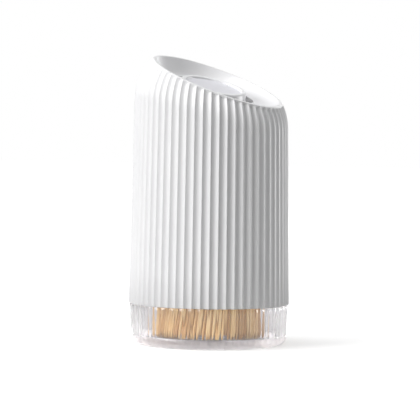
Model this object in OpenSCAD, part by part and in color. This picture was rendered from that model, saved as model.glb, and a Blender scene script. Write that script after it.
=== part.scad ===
// Pop-up toothpick dispenser: a fluted shell with a slanted mouth over a clear cup.
// A round button stands on a spring-lifted core that carries the toothpicks.
// Millimetres, +Z up, origin on the table under the middle, low side of the mouth towards +X.

/* [Shell] */
// Width across the flutes at the shell's lower edge
shell_d = 50; // [48:0.5:58]
// Height from the table to the highest point of the rim
total_h = 90; // [88:0.5:110]
// Slope of the rim's plane in degrees
rim_slope = 22.4; // [16:0.2:25]
// Inward draft of the shell's side in degrees
shell_draft = 1; // [0.3:0.1:1.5]
// Wall of the shell behind the flutes
shell_wall = 1.05; // [0.9:0.05:1.4]
// Width of the smooth lip round the rim
lip_w = 0.9; // [0.7:0.05:1.1]
// Number of flutes around the shell and the cup
flutes_n = 60; // [48:4:66]
// Depth of a flute
flute_depth = 0.6; // [0.3:0.05:0.7]
// Turn of the flutes about the axis, against the low side of the mouth
flute_turn = 1; // [0:0.5:6]
// Height of the rounded shoulder on the high side
shoulder_high = 14.1; // [12:0.1:18]
// Height of the rounded shoulder on the low side
shoulder_low = 7.9; // [6:0.1:10]
// How far the shoulder draws the rim in on the high side
inset_high = 6.6; // [5:0.1:6.8]
// How far the shoulder draws the rim in on the low side
inset_low = 1.9; // [1.2:0.1:3]

/* [Bowl] */
// Wall of the bowl
bowl_wall = 1.2; // [0.9:0.1:1.5]
// Width of the hole that the toothpicks rise through
hole_d = 26; // [25.6:0.1:27.4]
// Height of the hole's edge, down from the bowl's floor
hole_edge_h = 2.2; // [1.8:0.1:3]
// How quickly the bowl drops from its rim: higher is steeper
bowl_power = 2.2; // [1.6:0.1:3]
// Height of the collar that seats the bowl in the shell
collar_h = 2.5; // [1.5:0.1:3]
// Wall of that collar
collar_wall = 0.9; // [0.7:0.05:1.1]

/* [Button] */
// Width of the button
button_d = 20; // [18:0.1:21]
// How far the button stands from the axis, towards the low side
button_shift = 0.9; // [0:0.1:1.4]
// Turn of the button about the axis, against the low side of the mouth
button_turn = -16; // [-20:1:20]
// Slope of the button's face and of the bowl's floor in degrees
button_slope = 18; // [14:0.2:21]
// Depth of the button's ring under the rim's plane, at the axis
button_drop = 1.9; // [0.8:0.1:2.2]
// Height of the button's ring over the bowl's floor, at the axis
button_stand = 1.6; // [1.4:0.1:3]
// Width of the raised ring round the button's face
ring_w = 1.2; // [0.9:0.1:1.8]
// Depth of the button's face under its ring
face_drop = 0.7; // [0.4:0.1:1.2]
// Extra depth of the dish in the middle of the face
dish_depth = 0.5; // [0.2:0.1:0.8]
// Thickness of the face disc at its edge
disc_t = 1.2; // [1:0.1:1.6]
// Thickness of the cap's top under the disc
cap_t = 1.2; // [1:0.1:1.6]
// Height of the cap's skirt at the axis
skirt_h = 8.4; // [7.5:0.1:9]
// Height of the cap from the column's top to its ring, at the axis
cap_h = 10.9; // [10:0.1:12]
// Width of the hub inside the cap
hub_d = 10; // [9:0.1:12]

/* [Cup] */
// Height of the cup that shows under the shell
cup_h = 12.6; // [12:0.2:16]
// How far the cup's flutes stand back from the shell's edge
cup_step = 0.35; // [0.2:0.05:0.6]
// Depth of the cup's flutes
cup_flute_depth = 0.25; // [0.15:0.05:0.5]
// Inward draft of the cup's side in degrees
cup_draft = 2.6; // [1:0.1:3]
// Height of the rounded corner at the cup's foot
corner_h = 2.4; // [1.8:0.1:2.8]
// Width of that corner
corner_w = 2.25; // [1.8:0.05:2.5]
// Thickness of the cup's floor
floor_t = 0.8; // [0.7:0.1:1.2]
// Height of the spigot inside the shell
spigot_h = 8.5; // [5:0.5:12]
// Wall of the spigot
spigot_wall = 1.2; // [1:0.1:1.5]
// Width of the boss that carries the guide post
boss_d = 7.6; // [7:0.1:7.8]
// Height of that boss over the cup's floor
boss_h = 2.2; // [2:0.1:2.4]
// Depth of the post's socket in the boss
socket_h = 0.8; // [0.5:0.1:0.9]

/* [Lifting core] */
// Travel of the core from rest to its upper stop
lift = 20; // [14:0.5:21]
// Travel of the button below its rest, which works the latch
press = 0.7; // [0.5:0.05:0.9]
// Bore of the lifting column
column_bore = 8.4; // [8.2:0.1:8.8]
// Wall of the column
column_wall = 0.8; // [0.7:0.05:1]
// Width of the column's foot flange
flange_d = 13.2; // [12.4:0.1:13.6]
// Thickness of that flange
flange_t = 0.75; // [0.6:0.05:0.9]
// Thickness of the lip inside the column that meets the upper stop
lip_t = 1.6; // [1.2:0.1:2]
// Thickness of the tray's floor
tray_t = 0.8; // [0.7:0.05:1]
// Wall of the tray
tray_wall = 0.7; // [0.6:0.05:0.9]
// Height of the tray's wall over the table
tray_h = 30; // [24:0.5:40]
// Gap between the tray's wall and the cup
tray_gap = 3; // [2.4:0.1:3.4]
// Width of the tray's raised hub
hub_seat_d = 16; // [15:0.1:16.4]
// Thickness of the ring that clips the tray on the column
clip_t = 0.6; // [0.5:0.05:0.8]
// Width of that ring
clip_d = 13.6; // [12.6:0.1:14.2]
// Length of the plug inside the column's top
plug_len = 8; // [6:0.5:9]
// Thickness of the plug's rim on the column
plug_rim_t = 1; // [0.8:0.1:1.2]

/* [Guide post] */
// Width of the post's neck
neck_d = 5.2; // [4.8:0.1:5.6]
// Length of the post's head
head_len = 16.2; // [14.5:0.1:17]
// Distance of the head's flat from the axis
flat_y = 1.9; // [1.8:0.05:2]
// Length of the spigots that centre the spring
seat_len = 3; // [2:0.1:3.5]

/* [Spring] */
// Wire of the spring
wire_d = 0.6; // [0.5:0.05:0.7]
// Mean width of the spring's coils
coil_d = 4.4; // [4.2:0.1:4.6]
// Number of coils
coils_n = 11; // [8:0.5:12]

/* [Latch] */
// Thickness of the cam's plate
plate_t = 0.6; // [0.5:0.05:0.65]
// Height of the heart over the plate
heart_t = 0.45; // [0.35:0.05:0.5]
// Width of the heart
heart_w = 1.6; // [1.4:0.05:1.7]
// Height of the heart
heart_h = 4.2; // [3.4:0.1:4.6]
// Width of the follower's peg
peg_d = 0.7; // [0.6:0.05:0.75]
// Thickness of the follower's arm
arm_t = 0.45; // [0.35:0.05:0.5]
// Width of the follower's arm
arm_w = 1.4; // [1.2:0.05:1.5]
// Length of the arm from its pivot to its peg
arm_len = 17.5; // [17:0.1:18.5]
// Width of the pivot pin
pivot_d = 1; // [0.9:0.05:1.1]

/* [Toothpicks] */
// Length of a toothpick
pick_len = 65; // [60:0.5:66]
// Width of a toothpick
pick_d = 1.5; // [1.3:0.05:1.8]
// Length of its pointed ends
point_len = 9; // [6:0.5:12]
// Width of its blunt tip
tip_d = 0.45; // [0.3:0.05:0.6]
// Turn of a pick's top against its foot, in degrees
bundle_twist = 38; // [20:1:45]
// Number of rings of picks
pick_rings = 4; // [2:1:4]

/* [Screws] */
// Thread of both screws
screw_d = 2.5; // [2.2:0.1:2.6]
// Width of a screw's head
screw_head_d = 4.4; // [4:0.1:4.6]
// Height of a screw's head
screw_head_h = 1.2; // [1:0.1:1.3]
// Length of a screw under its head
screw_len = 9; // [7:0.5:10]

/* [Fits] */
// Radial clearance of a sliding or turning fit
run_gap = 0.08; // [0.05:0.01:0.1]
// Gap between seated pieces
seat_gap = 0.04; // [0.02:0.01:0.06]
// Gap between the spigot and the shell
spigot_gap = 0.12; // [0.08:0.01:0.2]
// Least clearance of parts that pass each other
pass_gap = 0.25; // [0.2:0.05:0.3]

/* [Hidden] */

white = [0.95, 0.95, 0.96];
clear = [0.85, 0.87, 0.9, 0.4];
steel = [0.72, 0.73, 0.75];
acetal = [0.9, 0.9, 0.86];
bamboo = [0.86, 0.72, 0.5];

sides = 96;              // sides of a large round
small_sides = 48;        // sides of a small round
ball_sides = 480;        // sides of the shallow dish's sphere
flute_cols = 3;          // columns of the mesh in one flute
cols = flutes_n * flute_cols;
shoulder_rows = 8;       // rows of the mesh up the shoulder
inner_rows = 8;          // rows up the shoulder's inner side
bowl_cols = 60;          // columns of the bowl's mesh
bowl_rows = 6;           // rows of the bowl's mesh
corner_rows = 5;         // rows of the cup's corner
groups_n = 6;            // toothpick groups
far = 200;               // size of a cutting block
screw_bite = 0.02;       // room round a screw's thread in its pilot hole
screw_room = 0.3;        // room round a screw's head
slot_w = 0.5;            // width of the cross in a screw's head
slot_len = 2.2;          // length of that cross
slot_depth = 0.6;        // depth of that cross

// Shell: a drafted body, an arc that draws it in, and a slanted plane that ends it
shell_r = shell_d / 2;
rim_edge = 0.1;          // bevel between the flutes' end and the lip
draft_k = tan(shell_draft);
rim_k = tan(rim_slope);
skin = shell_wall + flute_depth;
shell_z = cup_h + seat_gap;
function body_r(z) = shell_r - (z - cup_h) * draft_k;
function high_share(a) = pow((1 - cos(a)) / 2, 2);
function shoulder_h(a) = shoulder_low + (shoulder_high - shoulder_low) * high_share(a);
function inset(a) = inset_low + (inset_high - inset_low) * high_share(a);
rim_high_r = body_r(total_h - shoulder_high) - inset_high;
rim_mid_z = total_h - rim_k * rim_high_r;
function rim_r(a) =
    (shell_r - draft_k * (rim_mid_z - shoulder_h(a) - cup_h) - inset(a))
    / (1 - draft_k * rim_k * cos(a));
function rim_z(r, a) = rim_mid_z - rim_k * r * cos(a);

// The shoulder's arc at one angle: its radius, its sweep and where it starts
function arc_r(a) = (pow(shoulder_h(a), 2) + pow(inset(a), 2)) / (2 * inset(a));
function arc_sweep(a) = 2 * atan(inset(a) / shoulder_h(a));
function arc_z(a) = rim_z(rim_r(a), a) - shoulder_h(a);
function on_arc(a, t, depth) = [
    body_r(arc_z(a)) - arc_r(a) + (arc_r(a) - depth) * cos(t),
    arc_z(a) + (arc_r(a) - depth) * sin(t)];

// Share of a flute's depth at column i: nothing on its arris, most in its middle
function flute_share(i) =
    let (t = (i % flute_cols) / flute_cols) 1 - pow(2 * t - 1, 2);

// Bowl: drops from the rim to a floor that is parallel to the button's face
floor_k = tan(button_slope);
hole_r = hole_d / 2;
hole_edge_w = 0.9;       // width of the hole's edge
ring_z = rim_mid_z - button_drop;
bowl_floor_z = ring_z - button_stand;
function hole_z(a) = bowl_floor_z - floor_k * hole_r * cos(a);
function bowl_rim_r(a) = rim_r(a) - lip_w - seat_gap;
function bowl_at(a, u) =
    let (r = bowl_rim_r(a) + (hole_r - bowl_rim_r(a)) * u)
    let (drop = rim_z(hole_r, a) - hole_z(a))
    [r, rim_z(r, a) - drop * (1 - pow(1 - u, bowl_power))];
function bowl_under(a, u) =
    let (p = bowl_at(a, u), q = bowl_at(a, u + 0.02), d = (q - p) / norm(q - p))
    p + bowl_wall * [-d[1], d[0]];

// Button
button_r = button_d / 2;
face_r = button_r - ring_w;
seat_drop = face_drop + disc_t;
skirt_z = ring_z - skirt_h;
hub_z = ring_z - cap_h;
hub_r = hub_d / 2;
hub_floor_t = 3.5;       // thickness under the cap screw's head
screw_floor_z = hub_z + hub_floor_t;
face_z = ring_z - face_drop - floor_k * button_shift;
dish_r = (pow(face_r, 2) + pow(dish_depth, 2)) / (2 * dish_depth);

// Cup
spigot_z = cup_h + spigot_h;
spigot_r = body_r(spigot_z) - skin - spigot_gap;
cup_inner_r = spigot_r - spigot_wall;
cup_r = shell_r - cup_step;
function cup_side_r(z) = cup_r - (cup_h - z) * tan(cup_draft);
foot_r = cup_side_r(corner_h) - corner_w;
function corner_r(z) =
    z >= corner_h ? shell_r : foot_r + corner_w * sqrt(1 - pow(1 - z / corner_h, 2));
floor_bend = 1.4;        // rounding between the cup's floor and its wall
boss_r = boss_d / 2;
boss_z = floor_t + boss_h;
socket_z = boss_z - socket_h;

// Lifting core
bore_r = column_bore / 2;
column_r = bore_r + column_wall;
tray_z = floor_t + press + pass_gap - seat_gap;
tray_top = tray_z + tray_t;
tray_r = cup_inner_r - tray_gap;
pick_floor_r = tray_r - tray_wall;
hub_seat_r = hub_seat_d / 2;
hub_seat_top = tray_top + tray_t;
lip_z = boss_z + press + pass_gap;
lip_top = lip_z + lip_t;
column_top = hub_z - plug_rim_t - seat_gap;
plug_z = column_top - plug_len;

// Guide post
neck_r = neck_d / 2;
head_r = bore_r - run_gap;
head_z = lip_top + lift + pass_gap;
head_top = head_z + head_len;
seat_r = (coil_d - wire_d) / 2 - 0.25;

// Latch: the arm hangs from its pivot with its peg in the lane beside the heart
plate_y = flat_y + plate_t;
plate_w = 4.8;           // width of the cam's plate
plate_margin = 1.4;      // distance of the plate from the head's ends
stud_r = 0.6;            // studs that hold the plate in the head
stud_len = 1.2;
cam_studs = [head_z + 3.2, head_top - 3];
peg_gap = 0.12;          // peg to plate, and peg to heart
arm_gap = 0.15;          // arm to heart
peg_y = plate_y + peg_gap;
arm_y = plate_y + heart_t + arm_gap;
heart_rise = 7.2;        // the heart's shoulders over the head's foot
heart_z = head_z + heart_rise;
notch_h = 0.45;          // depth of the catch under the heart
peg_z = heart_z - 0.1 - peg_d / 2;
lane_x = (heart_w + peg_d) / 2 + peg_gap;
swing = asin(lane_x / arm_len);
pivot_z = peg_z + arm_len * cos(swing);
pivot_r = pivot_d / 2;
pivot_head_r = 0.85;
arm_eye_r = 0.95;        // round eye of the arm at its pivot
pivot_head_t = 0.25;
pivot_head_y = arm_y - pivot_head_t - 0.1;

// Toothpicks: rings of straight picks, twisted so that they draw in towards their tops
pick_r = pick_d / 2;
low_edge_z = hole_z(0) - hole_edge_h;
hole_share = (low_edge_z - lift - tray_top) / pick_len;
foot_in = hub_seat_r + pick_r + 0.1;
foot_out = pick_floor_r - pick_r - 0.1;
top_in = column_r + pick_r + 0.15;
top_out = (hole_r - pass_gap - pick_r - (1 - hole_share) * foot_out) / hole_share;
function ring_foot(k) = foot_in + (foot_out - foot_in) * k / (pick_rings - 1);
function ring_top(k) = top_in + (top_out - top_in) * k / (pick_rings - 1);
function ring_count(k) = floor(360 / (2 * asin(pick_d * 1.1 / 2 / ring_top(k))));

// ---- shared shapes ----

function around(p, a) = [p[0] * cos(a), p[0] * sin(a), p[1]];

// A ring swept round the axis from one closed section per column, the first at the angle start
module ring_solid(sections, start = 0) {
    n = len(sections);
    m = len(sections[0]);
    points = [for (i = [0 : n - 1]) for (p = sections[i]) around(p, start + 360 * i / n)];
    faces = [for (i = [0 : n - 1]) for (j = [0 : m - 1])
        let (a = i * m + j, b = i * m + (j + 1) % m)
        let (c = ((i + 1) % n) * m + j, d = ((i + 1) % n) * m + (j + 1) % m)
        each [[a, b, d], [a, d, c]]];
    polyhedron(points, faces);
}

// A closed block from one open outline per column, from its foot to its top
module block_solid(outlines, start = 0) {
    n = len(outlines);
    m = len(outlines[0]);
    points = [for (i = [0 : n - 1]) for (p = outlines[i]) around(p, start + 360 * i / n)];
    walls = [for (i = [0 : n - 1]) for (j = [0 : m - 2])
        let (a = i * m + j, b = a + 1, c = ((i + 1) % n) * m + j, d = c + 1)
        each [[a, b, d], [a, d, c]]];
    foot = [for (i = [0 : n - 1]) i * m];
    top = [for (i = [n - 1 : -1 : 0]) i * m + m - 1];
    polyhedron(points, concat(walls, [foot, top]));
}

// Everything under the plane that crosses the axis at height z and falls towards +X
module under_slope(z, slope) {
    translate([0, 0, z])
        rotate([0, slope, 0])
            translate([-far / 2, -far / 2, -far])
                cube([far, far, far]);
}

module tube(r_out, r_in, z, h) {
    difference() {
        translate([0, 0, z])
            cylinder(r = r_out, h = h, $fn = sides);
        translate([0, 0, z - 1])
            cylinder(r = r_in, h = h + 2, $fn = sides);
    }
}

// A pan-head screw along +Z whose head starts at height z
module screw(z, up) {
    translate([0, 0, z])
        mirror([0, 0, up ? 0 : 1])
            difference() {
                union() {
                    cylinder(r = screw_head_d / 2, h = screw_head_h, $fn = small_sides);
                    translate([0, 0, screw_head_h - 0.1])
                        cylinder(r = screw_d / 2, h = screw_len + 0.1, $fn = small_sides);
                }
                for (turn = [0, 90])
                    rotate([0, 0, turn])
                        translate([-slot_len / 2, -slot_w / 2, -1])
                            cube([slot_len, slot_w, slot_depth + 1]);
            }
}

// ---- shell group ----

function shell_section(i) =
    let (a = flute_turn + 360 * i / cols, sweep = arc_sweep(a), r = rim_r(a))
    let (f = flute_depth * flute_share(i))
    concat(
        [[body_r(shell_z) - f, shell_z]],
        [for (k = [0 : shoulder_rows - 1]) on_arc(a, sweep * k / shoulder_rows, f)],
        [[r - rim_edge, rim_z(r - rim_edge, a)]],
        [[r - lip_w, rim_z(r - lip_w, a)]],
        [for (k = [inner_rows : -1 : 0]) on_arc(a, sweep * k / inner_rows, skin)],
        [[body_r(shell_z) - skin, shell_z]]);

module outer_shell() {
    color(white)
        ring_solid([for (i = [0 : cols - 1]) shell_section(i)], flute_turn);
}

function collar_section(a) =
    let (sweep = arc_sweep(a), depth = skin + seat_gap)
    let (low = sweep - collar_h / (arc_r(a) - skin) * 180 / PI)
    [on_arc(a, low, depth + collar_wall),
     on_arc(a, low, depth),
     on_arc(a, (sweep + low) / 2, depth),
     on_arc(a, sweep, depth)];

function bowl_section(a) = concat(
    collar_section(a),
    [for (k = [0 : bowl_rows]) bowl_at(a, k / bowl_rows)],
    [[hole_r, hole_z(a) - hole_edge_h]],
    [[hole_r + hole_edge_w, hole_z(a) - hole_edge_h]],
    [for (k = [bowl_rows - 1 : -1 : 2]) bowl_under(a, k / bowl_rows)]);

module bowl_liner() {
    color(white)
        ring_solid([for (i = [0 : bowl_cols - 1]) bowl_section(360 * i / bowl_cols)]);
}

// ---- button group ----

module cap_body() {
    difference() {
        intersection() {
            translate([button_shift, 0, skirt_z])
                cylinder(r = button_r, h = far, $fn = sides);
            under_slope(ring_z, button_slope);
        }
        // recess for the face disc
        difference() {
            translate([button_shift, 0, skirt_z])
                cylinder(r = face_r, h = far, $fn = sides);
            under_slope(ring_z - seat_drop, button_slope);
        }
        // hollow between the skirt and the hub
        intersection() {
            difference() {
                translate([button_shift, 0, skirt_z - 1])
                    cylinder(r = face_r, h = far, $fn = sides);
                translate([0, 0, skirt_z - 2])
                    cylinder(r = hub_r, h = far + 2, $fn = small_sides);
            }
            under_slope(ring_z - seat_drop - cap_t, button_slope);
        }
    }
    translate([0, 0, hub_z])
        cylinder(r = hub_r, h = skirt_z - hub_z + 1, $fn = small_sides);
}

module button_cap() {
    color(white)
        difference() {
            rotate([0, 0, button_turn])
                cap_body();
            translate([0, 0, screw_floor_z])
                cylinder(r = screw_head_d / 2 + screw_room, h = far, $fn = small_sides);
            translate([0, 0, hub_z - 1])
                cylinder(r = screw_d / 2 + run_gap, h = far, $fn = small_sides);
        }
}

module button_disc() {
    color(white)
        rotate([0, 0, button_turn])
            difference() {
                intersection() {
                    translate([button_shift, 0, skirt_z])
                        cylinder(r = face_r - seat_gap, h = far, $fn = sides);
                    under_slope(ring_z - face_drop, button_slope);
                }
                under_slope(ring_z - seat_drop + seat_gap, button_slope);
                translate([button_shift, 0, face_z])
                    rotate([0, button_slope, 0])
                        translate([0, 0, dish_r - dish_depth])
                            sphere(r = dish_r, $fn = ball_sides);
            }
}

module cap_screw() {
    color(steel)
        screw(screw_floor_z + screw_head_h + seat_gap, false);
}

// ---- lifting core ----

module column_plug() {
    color(white)
        difference() {
            union() {
                translate([0, 0, column_top + seat_gap])
                    cylinder(r = column_r, h = plug_rim_t - seat_gap, $fn = sides);
                translate([0, 0, plug_z])
                    cylinder(r = bore_r - seat_gap, h = plug_len + 0.5, $fn = sides);
                translate([0, 0, plug_z - seat_len])
                    cylinder(r = seat_r, h = seat_len + 1, $fn = small_sides);
            }
            translate([0, 0, plug_z + 0.5])
                cylinder(r = screw_d / 2 + screw_bite, h = far, $fn = small_sides);
        }
}

module lift_column() {
    color(white)
        difference() {
            union() {
                tube(column_r, bore_r, tray_z, column_top - tray_z);
                tube(flange_d / 2, bore_r, tray_z, flange_t);
                tube(bore_r + 0.2, neck_r + run_gap, lip_z, lip_t);
            }
            translate([0, 0, pivot_z])
                rotate([-90, 0, 0])
                    cylinder(r = pivot_r + 0.02, h = far, $fn = small_sides);
        }
}

module lift_tray() {
    color(clear)
        rotate_extrude($fn = sides)
            polygon([
                [column_r + seat_gap, tray_top],
                [flange_d / 2 + pass_gap, tray_top],
                [flange_d / 2 + pass_gap, tray_z],
                [tray_r - tray_t, tray_z],
                [tray_r, tray_top],
                [tray_r, tray_h],
                [tray_r - tray_wall, tray_h],
                [tray_r - tray_wall, tray_top],
                [hub_seat_r, tray_top],
                [hub_seat_r, hub_seat_top],
                [column_r + seat_gap, hub_seat_top]]);
}

module tray_clip() {
    color(steel)
        difference() {
            tube(clip_d / 2, column_r + 0.02, hub_seat_top + seat_gap, clip_t);
            for (turn = [0 : 120 : 240])
                rotate([0, 0, turn])
                    translate([0, -0.6, hub_seat_top - 1])
                        cube([column_r + 0.6, 1.2, clip_t + 2]);
        }
}

// ---- spring ----

spring_rings = 8;        // rings of the mesh in one coil
wire_sides = 6;
spring_low = head_top + seat_gap + wire_d / 2;
spring_high = plug_z - seat_gap - wire_d / 2;
spring_steps = floor(coils_n * spring_rings);
function coil_at(i) =
    [coil_d / 2 * cos(360 * i / spring_rings),
     coil_d / 2 * sin(360 * i / spring_rings),
     spring_low + (spring_high - spring_low) * i / spring_steps];
function coil_ring(i) =
    let (turn = 360 * i / spring_rings, out = [cos(turn), sin(turn), 0])
    let (climb = (spring_high - spring_low) / spring_steps * spring_rings / 360 * 180 / PI)
    let (along = [-sin(turn) * coil_d / 2, cos(turn) * coil_d / 2, climb])
    let (side = cross(along / norm(along), out))
    [for (k = [0 : wire_sides - 1])
        let (b = 360 * k / wire_sides)
        coil_at(i) + wire_d / 2 * (cos(b) * out + sin(b) * side)];
coil_gaps = [for (i = [0 : spring_steps - spring_rings])
    norm(coil_at(i + spring_rings) - coil_at(i)) - wire_d];
echo(least_spring_gap = min(coil_gaps));

module lift_spring() {
    points = [for (i = [0 : spring_steps]) each coil_ring(i)];
    last = spring_steps * wire_sides;
    walls = [for (i = [0 : spring_steps - 1]) for (k = [0 : wire_sides - 1])
        let (a = i * wire_sides + k, b = i * wire_sides + (k + 1) % wire_sides)
        each [[a, a + wire_sides, b + wire_sides], [a, b + wire_sides, b]]];
    start = [for (k = [0 : wire_sides - 1]) k];
    end = [for (k = [wire_sides - 1 : -1 : 0]) last + k];
    color(steel)
        polyhedron(points, concat(walls, [start, end]));
}

// ---- base group ----

function cup_outline(i) =
    let (f = cup_flute_depth * flute_share(i))
    concat(
        [for (k = [0 : corner_rows])
            let (z = corner_h * (1 - cos(90 * k / corner_rows)))
            [min(corner_r(z), cup_side_r(z) - f), z]],
        [[cup_r - f, cup_h]]);

module cup_cavity() {
    rotate_extrude($fn = sides)
        polygon(concat(
            [[0, floor_t]],
            [for (t = [0 : 15 : 90])
                [cup_inner_r - floor_bend * (1 - sin(t)), floor_t + floor_bend * (1 - cos(t))]],
            [[cup_inner_r, spigot_z + 1], [0, spigot_z + 1]]));
}

module base_cup() {
    color(clear)
        difference() {
            union() {
                difference() {
                    union() {
                        block_solid([for (i = [0 : cols - 1]) cup_outline(i)], flute_turn);
                        translate([0, 0, corner_h])
                            cylinder(r = spigot_r, h = spigot_z - corner_h, $fn = sides);
                    }
                    cup_cavity();
                }
                translate([0, 0, floor_t / 2])
                    cylinder(r = boss_r, h = boss_z - floor_t / 2, $fn = small_sides);
            }
            translate([0, 0, socket_z])
                cylinder(r = neck_r + seat_gap, h = far, $fn = small_sides);
            translate([0, 0, -1])
                cylinder(r = screw_d / 2 + screw_room / 2, h = far, $fn = small_sides);
            translate([0, 0, -1])
                cylinder(r = screw_head_d / 2 + screw_room, h = screw_head_h + 1.1,
                         $fn = small_sides);
        }
}

module post_screw() {
    color(steel)
        screw(0.1 - seat_gap, true);
}

module guide_post() {
    color(white)
        difference() {
            union() {
                translate([0, 0, socket_z + seat_gap])
                    cylinder(r = neck_r, h = head_z - socket_z, $fn = small_sides);
                intersection() {
                    translate([0, 0, head_z])
                        cylinder(r = head_r, h = head_len, $fn = sides);
                    translate([-far / 2, flat_y - far, 0])
                        cube([far, far, far]);
                }
                translate([0, 0, head_top - 1])
                    cylinder(r = seat_r, h = seat_len + 1, $fn = small_sides);
            }
            cylinder(r = screw_d / 2 + screw_bite, h = screw_head_h + screw_len + 1.5,
                     $fn = small_sides);
            for (z = cam_studs)
                translate([0, flat_y - stud_len, z])
                    rotate([-90, 0, 0])
                        cylinder(r = stud_r + 0.02, h = far, $fn = small_sides);
        }
}

// ---- latch ----

module latch_cam() {
    color(acetal) {
        translate([-plate_w / 2, flat_y + seat_gap / 2, head_z + plate_margin])
            cube([plate_w, plate_t - seat_gap / 2, head_len - 2 * plate_margin]);
        translate([0, plate_y + heart_t, 0])
            rotate([90, 0, 0])
                linear_extrude(heart_t + plate_t / 2)
                    polygon([
                        [0, heart_z + notch_h],
                        [heart_w / 2, heart_z],
                        [heart_w / 2, heart_z + heart_h * 0.45],
                        [0, heart_z + heart_h],
                        [-heart_w / 2, heart_z + heart_h * 0.45],
                        [-heart_w / 2, heart_z]]);
        for (z = cam_studs)
            translate([0, flat_y - stud_len + 0.1, z])
                rotate([-90, 0, 0])
                    cylinder(r = stud_r, h = stud_len, $fn = small_sides);
    }
}

module latch_follower() {
    color(steel)
        translate([0, 0, pivot_z])
            rotate([0, swing, 0])
                difference() {
                    union() {
                        translate([0, arm_y, 0])
                            rotate([-90, 0, 0])
                                cylinder(r = arm_eye_r, h = arm_t, $fn = small_sides);
                        translate([-arm_w / 2, arm_y, -arm_len])
                            cube([arm_w, arm_t, arm_len]);
                        translate([0, arm_y, -arm_len])
                            rotate([-90, 0, 0])
                                cylinder(r = arm_w / 2, h = arm_t, $fn = small_sides);
                        translate([0, peg_y, -arm_len])
                            rotate([-90, 0, 0])
                                cylinder(r = peg_d / 2, h = arm_y - peg_y + 0.1,
                                         $fn = small_sides);
                    }
                    rotate([-90, 0, 0])
                        cylinder(r = pivot_r + run_gap * 0.75, h = far, $fn = small_sides);
                }
}

module follower_pivot() {
    color(steel)
        translate([0, 0, pivot_z])
            rotate([-90, 0, 0]) {
                translate([0, 0, pivot_head_y])
                    cylinder(r = pivot_head_r, h = pivot_head_t, $fn = small_sides);
                translate([0, 0, pivot_head_y])
                    cylinder(r = pivot_r, h = column_r - 0.1 - pivot_head_y,
                             $fn = small_sides);
            }
}

// ---- toothpicks ----

module toothpick() {
    rotate_extrude($fn = 16)
        polygon([
            [0, 0],
            [tip_d / 2, 0],
            [pick_r, point_len],
            [pick_r, pick_len - point_len],
            [tip_d / 2, pick_len],
            [0, pick_len]]);
}

// A pick that stands on the tray at one angle and leans to its place at the top
module placed_pick(foot_radius, top_radius, angle) {
    foot = foot_radius * [cos(angle), sin(angle)];
    head = top_radius * [cos(angle + bundle_twist), sin(angle + bundle_twist)];
    run = head - foot;
    lean = asin(norm(run) / pick_len);
    translate([foot[0], foot[1], tray_top + seat_gap + tip_d / 2 * sin(lean)])
        rotate([0, 0, atan2(run[1], run[0])])
            rotate([0, lean, 0])
                toothpick();
}

module toothpicks(group) {
    color(bamboo)
        for (k = [0 : pick_rings - 1])
            for (i = [0 : ring_count(k) - 1])
                if (floor(groups_n * i / ring_count(k)) == group - 1)
                    placed_pick(ring_foot(k), ring_top(k), 360 * i / ring_count(k));
}

outer_shell();
bowl_liner();
button_cap();
button_disc();
cap_screw();
column_plug();
lift_column();
lift_tray();
tray_clip();
lift_spring();
guide_post();
post_screw();
latch_cam();
latch_follower();
follower_pivot();
base_cup();
toothpicks(1);  // toothpicks_1
toothpicks(2);  // toothpicks_2
toothpicks(3);  // toothpicks_3
toothpicks(4);  // toothpicks_4
toothpicks(5);  // toothpicks_5
toothpicks(6);  // toothpicks_6
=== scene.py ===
"""Pop-up toothpick dispenser: a white fluted shell with a slanted mouth on a clear fluted cup.

Sizes are in millimetres and are those of the CAD model, apart from the picks' twist and blunter
feet; meshes are written in metres. Flutes and toothpicks are made by Geometry Nodes. The low side
of the mouth looks along +X.
"""

import math

import bpy
from mathutils import Matrix, Vector
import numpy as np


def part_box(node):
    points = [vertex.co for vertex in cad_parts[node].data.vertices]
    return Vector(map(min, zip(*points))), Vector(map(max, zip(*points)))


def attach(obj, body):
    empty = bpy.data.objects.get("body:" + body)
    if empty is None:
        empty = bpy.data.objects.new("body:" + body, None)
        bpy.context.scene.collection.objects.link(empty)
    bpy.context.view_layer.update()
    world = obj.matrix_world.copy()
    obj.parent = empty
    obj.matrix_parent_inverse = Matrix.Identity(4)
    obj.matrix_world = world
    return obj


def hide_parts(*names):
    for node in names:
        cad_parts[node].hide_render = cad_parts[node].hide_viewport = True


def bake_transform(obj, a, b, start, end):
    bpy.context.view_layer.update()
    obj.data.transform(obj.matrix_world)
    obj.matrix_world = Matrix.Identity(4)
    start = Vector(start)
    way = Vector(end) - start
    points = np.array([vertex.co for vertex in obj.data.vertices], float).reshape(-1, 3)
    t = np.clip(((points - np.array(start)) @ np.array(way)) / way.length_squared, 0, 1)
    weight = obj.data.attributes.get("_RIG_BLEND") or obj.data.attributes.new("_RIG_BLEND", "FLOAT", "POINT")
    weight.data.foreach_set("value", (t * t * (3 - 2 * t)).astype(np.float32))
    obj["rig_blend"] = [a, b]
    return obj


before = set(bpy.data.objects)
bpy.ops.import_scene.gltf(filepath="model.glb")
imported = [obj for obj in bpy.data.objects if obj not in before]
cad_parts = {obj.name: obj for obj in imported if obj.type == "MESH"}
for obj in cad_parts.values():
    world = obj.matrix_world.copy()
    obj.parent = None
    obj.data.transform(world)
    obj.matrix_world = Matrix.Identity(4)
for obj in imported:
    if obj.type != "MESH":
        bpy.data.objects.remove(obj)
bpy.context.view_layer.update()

MM = 0.001

# ---------------------------------------------------------------- sizes, in millimetres

# Names that end in _K are slopes, in rise over run.

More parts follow.
